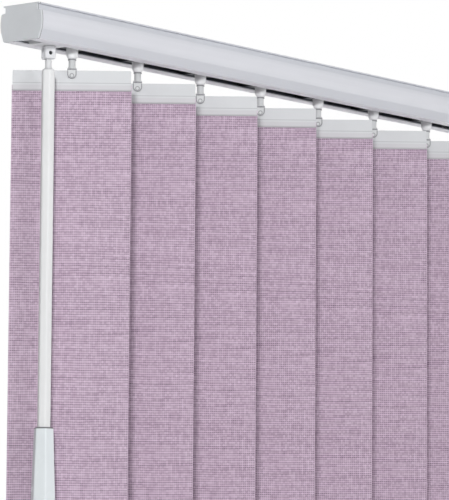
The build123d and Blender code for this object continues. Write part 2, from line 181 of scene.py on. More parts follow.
class FittingSettings(PropertyGroup):
    """Colours of the rail, the moulded parts and the wand, and sizes of the marks on them."""

    rail: colour("Rail paint", "Powder coat of the bulged front and back", srgb(226, 227, 233))
    # Darker coat above and below the bulge: painted shade
    flank_shade: colour("Rail flank", "Powder coat above and below the bulge", srgb(211, 213, 219))
    # Paler coat beside the slot: painted light from below
    lit_underside: colour("Rail underside", "Powder coat beside the slot", srgb(246, 247, 250))
    # Dark tone inside the rail: painted shade in the hollow
    rail_inside_shade: colour("Rail inside", "Uncoated wall inside the rail", srgb(104, 107, 115))
    seam: length("Seam", "Width of the dark line where the rail meets a cap", 0.0006)
    cap: colour("End cap", "Moulded caps at the rail's ends", srgb(217, 220, 223))
    carrier: colour("Carrier", "Bosses of the carriers, and the truck", srgb(240, 241, 242))
    yoke: colour("Yoke", "Fork that carries the wand", srgb(222, 223, 225))
    # Dark tone of the carriers inside the rail: painted shade in the hollow
    body: colour("Carrier body", "Carriers inside the rail", srgb(62, 64, 68))
    boss_radius: length("Boss radius", "Radius of the pale boss of a carrier", 0.0045)
    pin: colour("Pin", "Dull pin, deep in the yoke", srgb(58, 59, 61))
    gear: colour("Gear", "Worms and the wand's gear", srgb(236, 236, 232))
    hook: colour("Hook", "Milky stems and hooks", srgb(208, 210, 211))
    hanger: colour("Hanger plate", "Plates along the tops of the slats", srgb(214, 216, 218))
    gripped: colour("Gripped fabric", "Plate where the fabric shows through it", srgb(200, 197, 201))
    # Painted shade of the clear mouldings, also used for the dark seam line where the rail meets a cap
    shaded: colour("Shade", "Creases, rings and rims of the clear mouldings", srgb(140, 141, 144))
    channel_height: length("Channel height", "Height of the channel that grips the fabric", 0.0057)
    ring_rise: length("Ring rise", "From one ring of a stem up to the other", 0.0073)
    ring_height: length("Ring height", "Height of one ring of a stem", 0.001)
    prong_radius: length("Prong radius", "Radius of the rounded end of a prong", 0.0027)
    nub_drop: length("Nub drop", "From the top of the plate down to the nub", 0.0039)
    nub_radius: length("Nub radius", "Radius of the line round the nub", 0.0014)
    line_width: length("Line width", "Width of the shaded lines", 0.0006)
    line_level: level("Line level", "How dark the shaded lines of a hook are", 0.9)
    wand: colour("Wand", "Tube of the wand", srgb(236, 237, 237))
    neck: colour("Neck", "Eye and waisted neck over the tube", srgb(220, 221, 222))
    grip: colour("Grip", "Handle at the wand's foot", srgb(228, 234, 236))
    grip_shade: colour("Grip shade", "Rim of the handle beside the tube", srgb(84, 84, 88))
    grip_rim: length("Grip rim", "Depth below the handle's top up to which its rim is pale", 0.0014)
    grip_dark: length("Grip dark", "Depth below the handle's top from which its rim is dark", 0.0006)
    rod: colour("Rod", "Drawn aluminium rod", srgb(186, 188, 190))
    steel: colour("Steel", "Spacer strips and weights", srgb(150, 151, 152))


class StageSettings(PropertyGroup):
    """Camera, lights and floor."""

    lens: FloatProperty(name="Lens", description="Focal length of the camera", default=253.37, unit="CAMERA")
    place: FloatVectorProperty(
        name="Camera place", description="Where the camera stands", default=(-2.1795, -1.70088, -0.46218),
        subtype="TRANSLATION",
    )
    heading: angle("Heading", "Compass angle that the camera looks along", 38.542)
    pitch: angle("Pitch", "Angle that the camera looks up by", 6.333)
    roll: angle("Roll", "Turn about the line of sight", 0.4137)
    floor_reach: length("Floor reach", "From the blind to each side of the floor", 30.0)
    floor_drop: length("Floor drop", "From the slats' feet down to the floor", 0.04)
    floor_colour: colour("Floor", "Plain pale floor", srgb(244, 244, 246))
    floor_fade: length("Floor fade", "From the blind to where the floor starts to turn evenly pale", 0.9)
    floor_even: length("Floor even", "From the blind to where the floor is evenly pale", 1.98)
    floor_glow: level("Floor glow", "Brightness of the far floor where the camera sees it", 0.85)
    lamp_distance: length("Lamp distance", "From the blind to each lamp", 4.0)
    key_level: level("Key level", "Light from the lamp beside the camera", 0.44)
    key_offset: angle("Key offset", "Angle from the camera round to the key lamp", 3.5)
    key_rise: angle("Key rise", "Height angle of the key lamp and the side lamp", 9)
    key_size: length("Key size", "Width of the key lamp", 0.34)
    side_level: level("Side level", "Light from the room, to the right of the camera", 0.133)
    side_heading: angle("Side heading", "Compass angle that the side lamp shines along", 74)
    side_size: length("Side size", "Width of the side lamp", 1.0)
    fill_level: level("Fill level", "Light from the lamp that shines back off the rail", 0.092)
    fill_rise: angle("Fill rise", "Height angle of the fill lamp", -2)
    fill_size: length("Fill size", "Width of the fill lamp", 0.35)
    back_level: level("Back level", "Light on the slats' far faces from the lamp behind them", 0.4)
    back_rise: angle("Back rise", "Height angle of the back lamp", 14)
    back_size: length("Back size", "Width of the back lamp", 1.5)
    top_level: level("Top level", "Light on the floor from the wide lamp overhead", 0.3)
    top_size: length("Top size", "Width of the top lamp", 2.0)
    sky_level: level("Sky level", "Soft light from all round", 0.166)
    sky_lean: FloatVectorProperty(
        name="Sky lean", description="Side that more of the soft light comes from",
        default=(0.6, -1.05, -0.1), subtype="DIRECTION",
    )


def feed(tree, socket, value):
    """Links a value that comes from a node, and sets any other on the socket."""
    if isinstance(value, NodeSocket):
        tree.links.new(value, socket)
    else:
        socket.default_value = value


def node(tree, kind, inputs=None, **settings):
    """New node with its settings, and its inputs by name or number."""
    made = tree.nodes.new(kind)
    for name, value in settings.items():
        setattr(made, name, value)
    for place, value in (inputs or {}).items():
        feed(tree, made.inputs[place], value)
    return made


def calc(tree, operation, *values):
    """Result of a sum on one or more values."""
    made = tree.nodes.new("ShaderNodeMath")
    made.operation = operation
    for socket, value in zip(made.inputs, values):
        feed(tree, socket, value)
    return made.outputs[0]


def spread(tree, value, low, high, start=0.0, end=1.0):
    """Value from start to end, moved to run from low to high."""
    made = node(tree, "ShaderNodeMapRange")
    for socket, number in zip(made.inputs, (value, start, end, low, high)):
        feed(tree, socket, number)
    return made.outputs[0]


def blended(tree, factor, first, second, blend="MIX"):
    """Two colours mixed by a factor."""
    made = node(tree, "ShaderNodeMix", {0: factor}, data_type="RGBA", blend_type=blend)
    for place, value in ((6, first), (7, second)):
        feed(tree, made.inputs[place], value if isinstance(value, NodeSocket) else (*value, 1))
    return made.outputs[2]


def noise(tree, at, scale, detail=2.0, stretch=(1, 1, 1)):
    """Soft noise on a set of coordinates, drawn out along an axis by a small stretch."""
    spot = node(tree, "ShaderNodeMapping", {"Vector": at, "Scale": stretch}).outputs[0]
    return node(tree, "ShaderNodeTexNoise", {"Vector": spot, "Scale": scale, "Detail": detail}).outputs[0]


def drift(tree, at, low, high, scale, detail=2.0, stretch=(1, 1, 1), part=MIDDLE):
    """Value that drifts between low and high, from a part of a noise's range."""
    return spread(tree, noise(tree, at, scale, detail, stretch), low, high, *part)


def triple(tree, x=0.0, y=0.0, z=0.0):
    """Vector from three values."""
    return node(tree, "ShaderNodeCombineXYZ", {0: x, 1: y, 2: z}).outputs[0]


def axes(tree, vector):
    """Three values from a vector."""
    return node(tree, "ShaderNodeSeparateXYZ", {0: vector}).outputs


def reach(tree, vector):
    """Length of a vector."""
    return node(tree, "ShaderNodeVectorMath", {0: vector}, operation="LENGTH").outputs["Value"]


def fresh_material(name, finish):
    """New material, its tree and its shader, with the finish set on the shader's own sockets."""
    material = bpy.data.materials.new(name)
    material.use_nodes = True
    tree = material.node_tree
    shader = tree.nodes["Principled BSDF"]
    for label, value in finish.items():
        shader.inputs[label].default_value = value
    return material, tree, shader


def raised(tree, shader, height, distance, strength=1.0):
    """Bump from a height, on the shader."""
    bump = node(tree, "ShaderNodeBump", {"Height": height, "Distance": distance, "Strength": strength})
    tree.links.new(bump.outputs[0], shader.inputs["Normal"])


def place_of(tree):
    """Object coordinates."""
    return node(tree, "ShaderNodeTexCoord").outputs["Object"]


def past_hook(tree, x):
    """Distance along the rail from the axis of the nearest hook."""
    return calc(tree, "WRAP", x, PITCH / 2, -PITCH / 2)


def band(tree, value, low, high, soft=0.00015):
    """Mask that is 1 between two values, with soft edges."""
    rise = spread(tree, value, 0, 1, low - soft, low + soft)
    return calc(tree, "MULTIPLY", rise, spread(tree, value, 1, 0, high - soft, high + soft))


def dimmed(tint, share):
    """Darker tone of a colour."""
    return tuple(part * share for part in tint)


def mottled(tree, at, tint, mottle=0.05):
    """Slightly cloudy colour of moulded plastic."""
    cloud = drift(tree, at, 0, 1, scale=45.0, detail=4.0, part=(0.35, 0.65))
    return blended(tree, cloud, dimmed(tint, 1 - mottle), tint)


def skin(tree, shader, at, tint, roughness, grain, depth=0.00002):
    """Colour, smeared gloss and spark-eroded grain of a moulded piece."""
    glossiest, dullest = roughness - 0.06, roughness + 0.08
    smear = drift(tree, at, glossiest, dullest, scale=160.0, detail=3.0, stretch=(0.4, 1, 1))
    feed(tree, shader.inputs["Base Color"], tint)
    feed(tree, shader.inputs["Roughness"], smear)
    raised(tree, shader, noise(tree, at, grain, detail=3.0), depth)


def moulded(name, tint, roughness, grain, mottle=0.05, specular=0.5):
    """Moulded plastic of one colour."""
    material, tree, shader = fresh_material(name, {"Specular IOR Level": specular})
    at = place_of(tree)
    skin(tree, shader, at, mottled(tree, at, tint, mottle), roughness, grain)
    return material


def hanger_plastic(settings):
    """Thin plate whose channel lets the gripped fabric show through, with painted shade at its step and foot.
    """
    material, tree, shader = fresh_material("Hanger plate plastic", {"Specular IOR Level": 0.3})
    at = place_of(tree)
    height = axes(tree, at)[2]
    tint = mottled(tree, at, settings.hanger, mottle=0.03)
    below = HANGER_FOOT - BEYOND
    step = HANGER_FOOT + settings.channel_height
    # Lower and upper end, softness, strength and colour of each mark: the fabric that shows through, then
    # painted shade at the step and at the foot
    for low, high, soft, strength, shade in (
        (below, SLAT_TOP, 0.0006, 0.55, settings.gripped),
        (step, step + settings.line_width, 0.00015, 0.4, settings.shaded),
        (below, HANGER_FOOT + 0.0011, 0.0005, 0.45, settings.shaded),
    ):
        mark = calc(tree, "MULTIPLY", band(tree, height, low, high, soft), strength)
        tint = blended(tree, mark, tint, shade)
    skin(tree, shader, at, tint, roughness=0.52, grain=1500.0)
    return material


def carrier_plastic(settings):
    """Pale boss, and painted shade darkening the body inside the rail."""
    material, tree, shader = fresh_material("Carrier body plastic", {})
    at = place_of(tree)
    x, y, z = axes(tree, at)
    from_axis = reach(tree, triple(tree, past_hook(tree, x), y))
    # Painted shade: the body around the boss, inside the rail, is dark
    around = calc(tree, "GREATER_THAN", from_axis, settings.boss_radius + 0.0002)
    body = calc(tree, "MULTIPLY", around, calc(tree, "GREATER_THAN", z, RAIL_FOOT + 0.0001))
    tint = blended(tree, body, mottled(tree, at, settings.carrier), mottled(tree, at, settings.body))
    skin(tree, shader, at, tint, roughness=0.42, grain=1700.0)
    return material


def hook_plastic(settings, turn):
    """Milky plastic with painted shade at its rings, round its prongs and at the nub."""
    finish = {"Subsurface Weight": 0.2, "Subsurface Radius": (0.002, 0.002, 0.002), "Specular IOR Level": 0.3}
    material, tree, shader = fresh_material("Milky hook plastic", finish)
    at = place_of(tree)
    x, y, z = axes(tree, at)
    aside = calc(tree, "MULTIPLY_ADD", past_hook(tree, x), cos(turn), calc(tree, "MULTIPLY", y, -sin(turn)))
    tint = mottled(tree, at, settings.hook, mottle=0.04)
    ring_foot = HANGER_TOP + 0.0002
    # Painted shade at the stem's two rings
    for low in (ring_foot, ring_foot + settings.ring_rise):
        tint = blended(tree, band(tree, z, low, low + settings.ring_height), tint, settings.shaded)
    # Painted shade round each prong's rounded end and round the nub
    under = calc(tree, "SUBTRACT", z, HANGER_TOP - settings.prong_radius)
    from_prong = reach(tree, triple(tree, aside, calc(tree, "MINIMUM", under, 0.0)))
    rim = band(tree, from_prong, settings.prong_radius, BEYOND)
    rim = calc(tree, "MULTIPLY", rim, calc(tree, "LESS_THAN", z, HANGER_TOP))
    from_nub = reach(tree, triple(tree, aside, calc(tree, "SUBTRACT", z, HANGER_TOP - settings.nub_drop)))
    half_line = settings.line_width / 2
    ring = band(tree, from_nub, settings.nub_radius - half_line, settings.nub_radius + half_line)
    lines = calc(tree, "MULTIPLY", calc(tree, "MAXIMUM", rim, ring), settings.line_level)
    tint = blended(tree, lines, tint, settings.shaded)
    skin(tree, shader, at, tint, roughness=0.42, grain=2400.0, depth=0.00001)
    return material


def grip_plastic(settings):
    """Glossy handle with painted shade of the tube on its top and upper rim."""
    finish = {"Coat Weight": 0.2, "Coat Roughness": 0.1, "Specular IOR Level": 0.2}
    material, tree, shader = fresh_material("Grip plastic", finish)
    at = place_of(tree)
    start, end = GRIP_TOP - settings.grip_rim, GRIP_TOP - settings.grip_dark
    rim = spread(tree, axes(tree, at)[2], 0.0, 0.95, start, end)
    tint = blended(tree, rim, mottled(tree, at, settings.grip, mottle=0.03), settings.grip_shade)
    skin(tree, shader, at, tint, roughness=0.22, grain=500.0)
    return material


def drawn_metal(name, tint, roughness, along=(0.02, 1, 1)):
    """Drawn or rolled metal with fine lines along one axis."""
    material, tree, shader = fresh_material(name, {"Metallic": 1.0})
    at = place_of(tree)
    lines = noise(tree, at, scale=2600.0, detail=3.0, stretch=along)
    cloud = drift(tree, at, 0, 1, scale=60.0, detail=3.0)
    feed(tree, shader.inputs["Base Color"], blended(tree, cloud, dimmed(tint, 0.8), tint))
    feed(tree, shader.inputs["Roughness"], spread(tree, lines, roughness - 0.08, roughness + 0.12, *MIDDLE))
    raised(tree, shader, lines, distance=0.00001)
    return material


def within_hollow(tree, down, aside):
    """Mask of the wall inside the rail, from a depth in millimetres and a distance aside in metres."""
    outline = node(tree, "ShaderNodeFloatCurve", {"Value": calc(tree, "DIVIDE", down, HOLLOW_SPAN)})
    points = outline.mapping.curves[0].points
    spots = [(depth / HOLLOW_SPAN, half / HOLLOW_SPAN) for depth, half in HOLLOW]
    points[0].location, points[1].location = spots[:2]
    for depth, half in spots[2:]:
        points.new(depth, half)
    for point in points:
        point.handle_type = "VECTOR"
    outline.mapping.update()
    half_width = calc(tree, "MULTIPLY", outline.outputs[0], HOLLOW_SPAN / MILLIMETRES)
    return calc(tree, "LESS_THAN", aside, half_width)


def coat_paint(settings):
    """White powder coat with orange peel, painted shade above and below the bulge, painted light beside the
    slot and painted shade on the wall inside the rail.
    """
    # In millimetres: depth of the bulge's middle, distances from it between which the painted shade above and
    # below the bulge starts, and depths between which the painted light beside the slot starts
    bulge, flank_shade, lit_underside = 12.0, (2.5, 8.5), (26.5, 26.95)
    black = (0, 0, 0)
    material, tree, shader = fresh_material("Rail powder coat", {"IOR": 1.5})
    at = place_of(tree)
    x, y, z = axes(tree, at)
    down = calc(tree, "MULTIPLY", z, -MILLIMETRES)
    from_bulge = calc(tree, "ABSOLUTE", calc(tree, "SUBTRACT", down, bulge))
    # Painted shade: darker coat above and below the bulge
    paint = blended(tree, spread(tree, from_bulge, 0, 1, *flank_shade), settings.rail, settings.flank_shade)
    patchy = drift(tree, at, 0.035, 0, scale=26.0, detail=4.0, stretch=(0.25, 1, 1))
    paint = blended(tree, patchy, paint, black)
    streaks = drift(tree, at, 0, 0.01, scale=900.0, stretch=(0.01, 1, 1), part=(0.4, 0.8))
    paint = blended(tree, streaks, paint, black)
    # Painted light: paler coat beside the slot
    paint = blended(tree, spread(tree, down, 0, 1, *lit_underside), paint, settings.lit_underside)
    seam = calc(tree, "GREATER_THAN", calc(tree, "ABSOLUTE", x), RAIL_END - settings.seam)
    paint = blended(tree, seam, paint, settings.shaded)
    # Painted shade: dark tone on the wall inside the rail
    inside = within_hollow(tree, down, calc(tree, "ABSOLUTE", y))
    feed(tree, shader.inputs["Base Color"], blended(tree, inside, paint, settings.rail_inside_shade))
    feed(tree, shader.inputs["Roughness"], drift(tree, at, 0.33, 0.43, scale=240.0, detail=3.0))
    raised(tree, shader, noise(tree, at, scale=420.0), distance=0.00004)
    return material


def weave_cloth(settings):
    """Plain weave of slub yarns, in metres across and along each slat."""
    finish = {"Roughness": 0.9, "Specular IOR Level": 0.25, "Sheen Weight": 0.12, "Sheen Roughness": 0.45}
    material, tree, shader = fresh_material("Woven lilac", finish)
    at = node(tree, "ShaderNodeUVMap", uv_map="weave").outputs[0]
    across, along = axes(tree, at)[:2]

    # Yarns counted along the slat and across it, and how each bulges between its neighbours
    sway = drift(tree, at, -settings.weft_sway, settings.weft_sway, scale=26.0, part=WIDE)
    weft = calc(tree, "DIVIDE", calc(tree, "ADD", along, sway), settings.weft_pitch)
    lean = drift(tree, at, -settings.warp_sway, settings.warp_sway, scale=21.0, stretch=(3, 1, 1), part=WIDE)
    warp = calc(tree, "DIVIDE", calc(tree, "ADD", across, lean), settings.warp_pitch)
    weft_round = calc(tree, "SINE", calc(tree, "MULTIPLY", weft, pi))
    warp_round = calc(tree, "SINE", calc(tree, "MULTIPLY", warp, pi))
    crossing = calc(tree, "MULTIPLY", weft_round, warp_round)

    # A place of its own in the noise for each yarn and each gap, this far from the next one's
    weft_step, warp_step, gap_step = 7.31, 5.17, 3.93
    weft_row = calc(tree, "MULTIPLY", calc(tree, "FLOOR", weft), weft_step)
    warp_row = calc(tree, "MULTIPLY", calc(tree, "FLOOR", warp), warp_step)
    gap_row = calc(tree, "MULTIPLY", calc(tree, "ROUND", weft), gap_step)
    cell = triple(tree, warp_row, weft_row)
    fleck = node(tree, "ShaderNodeTexWhiteNoise", {"Vector": cell}, noise_dimensions="3D").outputs["Value"]

    # Tone of the yarns: slubs along both, so many to a metre, more of the cross yarns where they run over
    weft_slubs, warp_slubs, gap_runs = 18, 60, 14
    under_share, over_share = 0.5, 0.75
    weft_spot = triple(tree, calc(tree, "MULTIPLY", across, weft_slubs), weft_row)
    warp_spot = triple(tree, warp_row, calc(tree, "MULTIPLY", along, warp_slubs), 3.7)
    weft_slub = noise(tree, weft_spot, scale=1.0, detail=3.0)
    warp_slub = noise(tree, warp_spot, scale=1.0, detail=3.0)
    share = spread(tree, crossing, under_share, over_share, -1.0, 1.0)
    shade = calc(tree, "ADD", calc(tree, "MULTIPLY", weft_slub, share),
                 calc(tree, "MULTIPLY", warp_slub, calc(tree, "SUBTRACT", 1.0, share)))
    shade = spread(tree, shade, 0.0, 1.0, settings.evenness, 1 - settings.evenness)
    shade = calc(tree, "ADD", shade, spread(tree, fleck, -settings.fleck, settings.fleck))
    wash = drift(tree, at, -settings.wash, settings.wash, scale=40.0, detail=3.0)
    ramp = node(tree, "ShaderNodeValToRGB", {0: calc(tree, "ADD", shade, wash)})
    stops = ramp.color_ramp.elements
    stops[0].position, stops[0].color = 0.0, (*settings.deep_yarn, 1)
    stops[1].position, stops[1].color = 1.0, (*settings.pale_yarn, 1)
    stops.new(0.5).color = (*settings.yarn, 1)

    # Gaps between the yarns, narrow and wide in turns, deepest at the holes where four yarns meet
    narrow, wide = 0.7, 1.3
    weft_dip, warp_dip = (
        calc(tree, "POWER", calc(tree, "SUBTRACT", 1.0, calc(tree, "ABSOLUTE", bulge)), 1.5)
        for bulge in (weft_round, warp_round)
    )
    gap_spot = triple(tree, calc(tree, "MULTIPLY", across, gap_runs), gap_row, 9.1)
    opening = drift(tree, gap_spot, 0.45, 1.1, scale=1.0, part=(0.3, 0.68))
    opening = calc(tree, "MULTIPLY", opening, settings.gap_depth)
    opening = calc(tree, "MULTIPLY", opening, spread(tree, fleck, wide, narrow))
    hole = calc(tree, "MULTIPLY_ADD", warp_dip, 1.1, 0.5)
    dip = calc(tree, "MULTIPLY", calc(tree, "MULTIPLY", weft_dip, opening), hole)
    dip = calc(tree, "MULTIPLY_ADD", warp_dip, settings.gap_depth * settings.warp_gap, dip)
    dip = calc(tree, "MINIMUM", dip, settings.deepest)
    tone = calc(tree, "SUBTRACT", 1.0, dip)
    cloth = blended(tree, 1.0, ramp.outputs[0], triple(tree, tone, tone, tone), "MULTIPLY")

    # Sealed edges, and the relief of the yarns and their fibres
    edge = calc(tree, "MINIMUM", across, calc(tree, "SUBTRACT", settings.width, across))
    sealed = spread(tree, edge, settings.seal_level, 0.0, 0.0, settings.seal)
    feed(tree, shader.inputs["Base Color"], blended(tree, sealed, cloth, settings.pale_yarn))
    fibre = noise(tree, at, scale=5200.0, stretch=(1, 0.3, 1))
    height = calc(tree, "MULTIPLY_ADD", crossing, 0.25, calc(tree, "MULTIPLY", fibre, 0.3))
    height = calc(tree, "MULTIPLY_ADD", shade, 0.8, height)
    raised(tree, shader, calc(tree, "SUBTRACT", height, dip), settings.relief, strength=0.6)
    return material


def dress(material, *nodes):
    """Gives CAD nodes their material."""
    for name in nodes:
        for place in frame["nodes"][name].material_slots:
            place.material = material


def like(start):
    """CAD nodes whose names begin alike."""
    return [name for name in sorted(frame["nodes"]) if name.startswith(start)]


def geometry_tree(name, inputs):
    """Geometry Nodes tree with named inputs. Gives the tree and its inputs by name."""
    tree = bpy.data.node_groups.new(name, "GeometryNodeTree")
    tree.interface.new_socket("Geometry", in_out="OUTPUT", socket_type="NodeSocketGeometry")
    for label, kind in inputs.items():
        tree.interface.new_socket(label, in_out="INPUT", socket_type="NodeSocket" + kind)
    given = tree.nodes.new("NodeGroupInput").outputs
    return tree, {label: given[label] for label in inputs}


def end_tree(tree, geometry, given):
    """Turns and places what a tree has made, and gives it its material."""
    moved = node(tree, "GeometryNodeTransform", {
        "Geometry": geometry,
        "Translation": given["Place"],
        "Rotation": triple(tree, z=calc(tree, "MULTIPLY", given["Turn"], -1)),
    })
    whole = node(tree, "GeometryNodeRealizeInstances", {0: moved.outputs[0]})
    coloured = node(tree, "GeometryNodeSetMaterial", {
        "Geometry": whole.outputs[0], "Material": given["Material"],
    })
    tree.links.new(coloured.outputs[0], tree.nodes.new("NodeGroupOutput").inputs[0])


def grown(name, tree, values, thickness=0.0):
    """Plain mesh piece that a tree makes from its named inputs, thickened where it is a sheet."""
    piece = bpy.data.objects.new(name, bpy.data.meshes.new(name))
    bpy.context.scene.collection.objects.link(piece)
    shape = piece.modifiers.new("Shape", "NODES")
    shape.node_group = tree
    for item in tree.interface.items_tree:
        if item.in_out == "INPUT":
            shape[item.identifier] = values[item.name]
    if thickness:
        shell = piece.modifiers.new("Shell", "SOLIDIFY")
        shell.thickness = thickness
        shell.offset = 0.0
    graph = bpy.context.evaluated_depsgraph_get()
    mesh = bpy.data.meshes.new_from_object(piece.evaluated_get(graph), depsgraph=graph)
    if not mesh.polygons:
        raise RuntimeError(f"{name} came out empty")
    piece.modifiers.clear()
    piece.data = mesh
    mesh.name = name
    mesh.set_sharp_from_angle(angle=SHARP_EDGE)
    return piece


def slat_tree():
    """Fabric strip down from the hanger, round the pocket and up behind itself."""
    tree, given = geometry_tree("Fabric slat", {
        "Width": "Float", "Top": "Float", "Foot": "Float", "Thickness": "Float", "Hem Height": "Float",
        "Hem Taper": "Float", "Hem Overlap": "Float", "Pocket": "Float", "Ripple": "Float", "Held": "Float",
        "Freed": "Float", "Seed": "Int", "Columns": "Int", "Flat Rows": "Int", "Hem Rows": "Int",
        "Turn": "Float", "Place": "Vector", "Material": "Material",
    })
    thick, top, foot = given["Thickness"], given["Top"], given["Foot"]

    # Line that the fabric follows, seen from its side
    half = calc(tree, "MULTIPLY_ADD", thick, 0.5, given["Pocket"])
    front = calc(tree, "MULTIPLY", half, -1)
    hem = calc(tree, "ADD", foot, given["Hem Height"])
    shoulder = calc(tree, "SUBTRACT", hem, given["Hem Taper"])
    fold = calc(tree, "MULTIPLY_ADD", thick, 0.5, foot)
    corners = [
        (0.0, top), (0.0, hem), (front, shoulder), (front, fold), (half, fold), (half, shoulder),
        (thick, hem), (thick, calc(tree, "ADD", hem, given["Hem Overlap"])),
    ]
    line = node(tree, "GeometryNodeCurvePrimitiveLine").outputs[0]
    line = node(tree, "GeometryNodeResampleCurve", {"Curve": line, "Count": len(corners)}).outputs[0]
    choice = node(tree, "GeometryNodeIndexSwitch", data_type="VECTOR")
    while len(choice.index_switch_items) < len(corners):
        choice.index_switch_items.new()
    feed(tree, choice.inputs[0], node(tree, "GeometryNodeInputIndex").outputs[0])
    for spot, (y, z) in enumerate(corners):
        feed(tree, choice.inputs[spot + 1], triple(tree, 0.0, y, z))
    line = node(tree, "GeometryNodeSetPosition", {"Geometry": line, "Position": choice.outputs[0]}).outputs[0]
    line = node(tree, "GeometryNodeFilletCurve", {
        "Curve": line, "Count": BEND_STEPS, "Radius": half, "Limit Radius": True,
    }, mode="POLY").outputs[0]
    whole = node(tree, "GeometryNodeCurveLength", {0: line}).outputs[0]

    # Grid, with its rows shared out between the flat part and the hem
    rows = calc(tree, "ADD", given["Flat Rows"], given["Hem Rows"])
    grid = node(tree, "GeometryNodeMeshGrid", {
        "Size X": 1.0, "Size Y": 1.0, "Vertices X": calc(tree, "ADD", given["Columns"], 1.0),
        "Vertices Y": calc(tree, "ADD", rows, 1.0),
    }).outputs[0]
    spot = axes(tree, node(tree, "GeometryNodeInputPosition").outputs[0])
    row = calc(tree, "MULTIPLY", calc(tree, "SUBTRACT", 0.5, spot[1]), rows)
    flat = calc(tree, "SUBTRACT", top, hem)
    turned = calc(tree, "SUBTRACT", whole, flat)
    flat_part = calc(tree, "DIVIDE", calc(tree, "MINIMUM", row, given["Flat Rows"]), given["Flat Rows"])
    hem_rows = calc(tree, "MAXIMUM", calc(tree, "SUBTRACT", row, given["Flat Rows"]), 0.0)
    hem_part = calc(tree, "DIVIDE", hem_rows, given["Hem Rows"])
    along = calc(tree, "MULTIPLY", flat_part, flat)
    along = calc(tree, "ADD", along, calc(tree, "MULTIPLY", hem_part, turned))
    across = calc(tree, "MULTIPLY", spot[0], given["Width"])
    weave = triple(tree, calc(tree, "MULTIPLY_ADD", given["Width"], 0.5, across), along)
    named = node(tree, "GeometryNodeStoreNamedAttribute", {
        "Geometry": grid, "Name": "weave", "Value": weave,
    }, data_type="FLOAT2", domain="CORNER").outputs[0]

    # Grid laid along the line, with a slight ripple between the hanger and the hem
    sample = node(tree, "GeometryNodeSampleCurve", {"Curves": line, "Length": along}, mode="LENGTH")
    path = axes(tree, sample.outputs["Position"])
    from_end = calc(tree, "MINIMUM", along, calc(tree, "SUBTRACT", flat, along))
    free = spread(tree, from_end, 0.0, 1.0, given["Held"], given["Freed"])
    seed_step, waves = 3.7, 7.0
    own = calc(tree, "MULTIPLY", given["Seed"], seed_step)
    place = triple(tree, own, spot[0], calc(tree, "MULTIPLY", along, waves))
    waver = node(tree, "ShaderNodeTexNoise", {"Vector": place, "Scale": 1.6, "Detail": 1.0}).outputs[0]
    waver = calc(tree, "MULTIPLY", spread(tree, waver, -1.0, 1.0, *WIDE), given["Ripple"])
    aside = calc(tree, "MULTIPLY_ADD", waver, free, path[1])
    hung = node(tree, "GeometryNodeSetPosition", {
        "Geometry": named, "Position": triple(tree, across, aside, path[2]),
    }).outputs[0]
    smooth = node(tree, "GeometryNodeSetShadeSmooth", {"Geometry": hung}).outputs[0]
    end_tree(tree, smooth, given)
    return tree


def stitch_tree():
    """Row of arched thread stitches on both faces of a hem."""
    tree, given = geometry_tree("Hem stitches", {
        "Width": "Float", "Pitch": "Float", "Length": "Float", "Thread Radius": "Float", "Arch": "Float",
        "Front": "Float", "Back": "Float", "Turn": "Float", "Place": "Vector", "Material": "Material",
    })
    thread, pitch = given["Thread Radius"], given["Pitch"]
    end = calc(tree, "MULTIPLY", given["Length"], 0.5)
    rise = calc(tree, "MULTIPLY", calc(tree, "MULTIPLY", thread, given["Arch"]), -1)
    arc = node(tree, "GeometryNodeCurveQuadraticBezier", {
        "Resolution": STITCH_STEPS,
        "Start": triple(tree, calc(tree, "MULTIPLY", end, -1), thread),
        "Middle": triple(tree, 0.0, rise),
        "End": triple(tree, end, thread),
    }).outputs[0]
    ring = node(tree, "GeometryNodeCurvePrimitiveCircle", {"Resolution": THREAD_SIDES, "Radius": thread})
    stitch = node(tree, "GeometryNodeCurveToMesh", {
        "Curve": arc, "Profile Curve": ring.outputs[0], "Fill Caps": True,
    }).outputs[0]
    stitch = node(tree, "GeometryNodeSetShadeSmooth", {"Geometry": stitch}).outputs[0]
    count = calc(tree, "FLOOR", calc(tree, "DIVIDE", given["Width"], pitch))
    row_length = calc(tree, "MULTIPLY", calc(tree, "SUBTRACT", count, 1.0), pitch)
    start = calc(tree, "MULTIPLY", row_length, -0.5)
    both = node(tree, "GeometryNodeJoinGeometry")
    for face, turn in (("Back", pi), ("Front", 0.0)):
        row = node(tree, "GeometryNodeMeshLine", {
            "Count": count,
            "Start Location": triple(tree, start, given[face]),
            "Offset": triple(tree, pitch),
        }, mode="OFFSET").outputs[0]
        sewn = node(tree, "GeometryNodeInstanceOnPoints", {
            "Points": row, "Instance": stitch, "Rotation": (0.0, 0.0, turn),
        }).outputs[0]
        tree.links.new(sewn, both.inputs[0])
    end_tree(tree, both.outputs[0], given)
    return tree


def middle_of(vane):
    """Point on a vane's axis at the top of the rail."""
    low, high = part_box(vane.replace("vane", "slat"))
    return ((low[0] + high[0]) / 2, (low[1] + high[1]) / 2, 0.0)


class BLIND_OT_rail(Operator):
    """Coat the head rail and draw the tilt rod"""

    bl_idname = "blind.rail"
    bl_label = "Rail and Rod"

    def execute(self, context):
        settings = context.scene.blind_fittings
        dress(coat_paint(settings), "headrail")
        dress(drawn_metal("Tilt rod aluminium", settings.rod, roughness=0.3), "tilt_rod")
        return {"FINISHED"}


